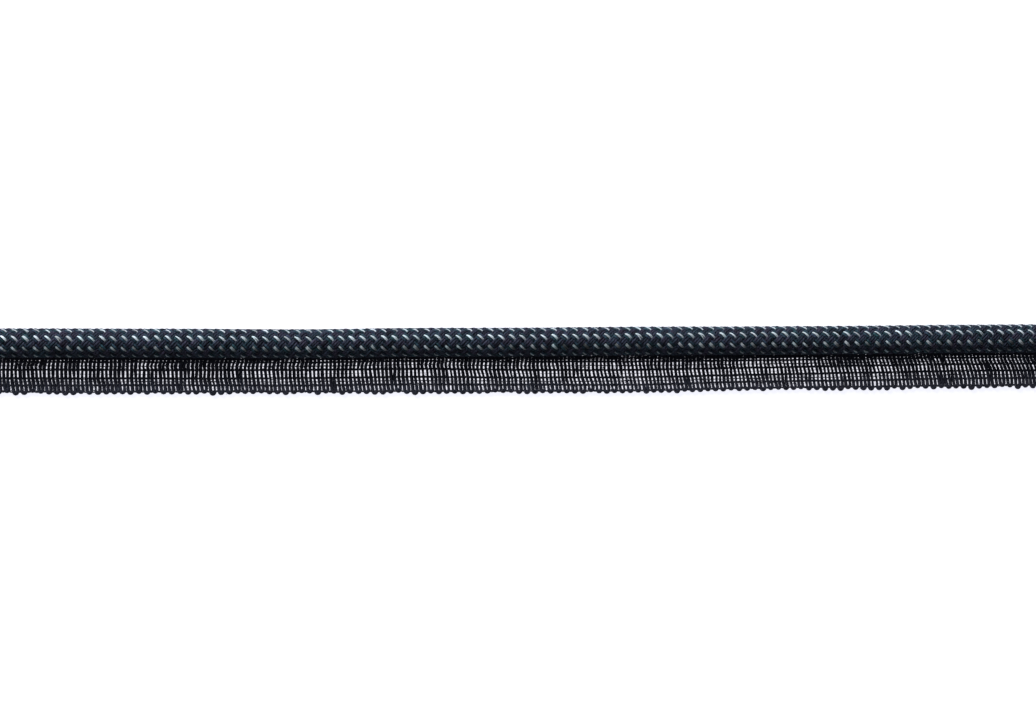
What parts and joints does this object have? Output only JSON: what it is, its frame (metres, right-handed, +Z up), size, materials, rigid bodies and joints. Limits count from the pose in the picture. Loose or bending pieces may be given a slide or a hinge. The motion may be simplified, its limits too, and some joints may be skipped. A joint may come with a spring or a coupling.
{
  "type": "length of flanged piping cord",
  "caption": "Cut length of round plaited cord in navy with pale flecks, sewn along one side to an open looped tape that is stitched into a seam.",
  "frame": {"origin": "middle of the bounding box, at the surface the length lies on", "axes": "+X along the length, +Y from the tape's looped edge towards the cord, +Z up from the surface"},
  "size_m": [0.23, 0.0146, 0.0074],
  "materials": {
    "cord_yarn": "plaited filament yarn, soft sheen, pale flecks",
    "tape_yarn": "matt open weave of spun yarn"
  },
  "bodies": {
    "root": {"cord": "cord_yarn", "tape": "tape_yarn"}
  },
  "joints": []
}
